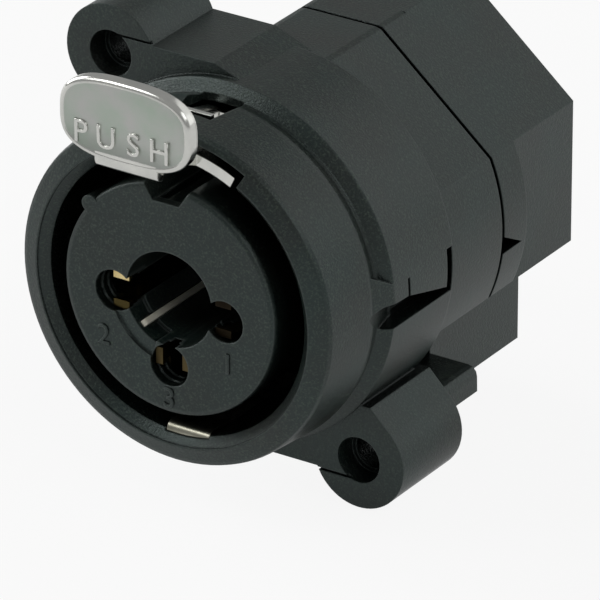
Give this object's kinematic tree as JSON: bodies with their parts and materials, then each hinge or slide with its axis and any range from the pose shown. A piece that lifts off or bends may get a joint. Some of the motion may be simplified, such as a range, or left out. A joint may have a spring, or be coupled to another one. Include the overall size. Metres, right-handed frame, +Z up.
{
  "type": "xlr panel socket",
  "caption": "Rear-mounted panel socket for a three-pin circular plug or a 6.35 mm jack plug, with a round bezel, two screw ears and a push latch on top.",
  "frame": {"origin": "on the plug axis, in the plane of the bezel's inner front rim", "axes": "+Y along the plug axis into the panel, +Z up towards the latch, +X to the right seen from the front"},
  "size_m": [0.0258, 0.0353, 0.0325],
  "materials": {
    "housing_plastic": "satin moulded thermoplastic, dark grey with a green cast",
    "insert_plastic": "satin moulded thermoplastic, dark grey",
    "latch_metal": "bright nickel plate on bent sheet",
    "spring_steel": "bright spring steel",
    "gold_contact": "thin gold plate",
    "tinned_contact": "bright tin plate"
  },
  "bodies": {
    "socket": {"front_housing": "housing_plastic", "contact_insert": "insert_plastic", "jack_carrier": "insert_plastic", "rear_cover": "housing_plastic", "pin_guide": "insert_plastic", "latch_pin": "spring_steel", "latch_spring": "spring_steel", "pin_contact_1": "gold_contact", "pin_contact_2": "gold_contact", "pin_contact_3": "gold_contact", "sleeve_contact": "tinned_contact", "ring_contact": "tinned_contact", "tip_contact": "tinned_contact", "ring_switch": "tinned_contact", "tip_switch": "tinned_contact", "earth_spring": "spring_steel"},
    "latch": {"latch_lever": "latch_metal"}
  },
  "joints": [
    {"name": "latch_hinge", "type": "hinge", "parent": "socket", "child": "latch", "pos_m": [0, 0.012, 0.01055], "axis": [-1, 0, 0], "range_deg": [0, 2.2], "stiffness_Nm_per_rad": 0.02, "springref_deg": -20.05, "deforming": ["latch_spring"]}
  ]
}
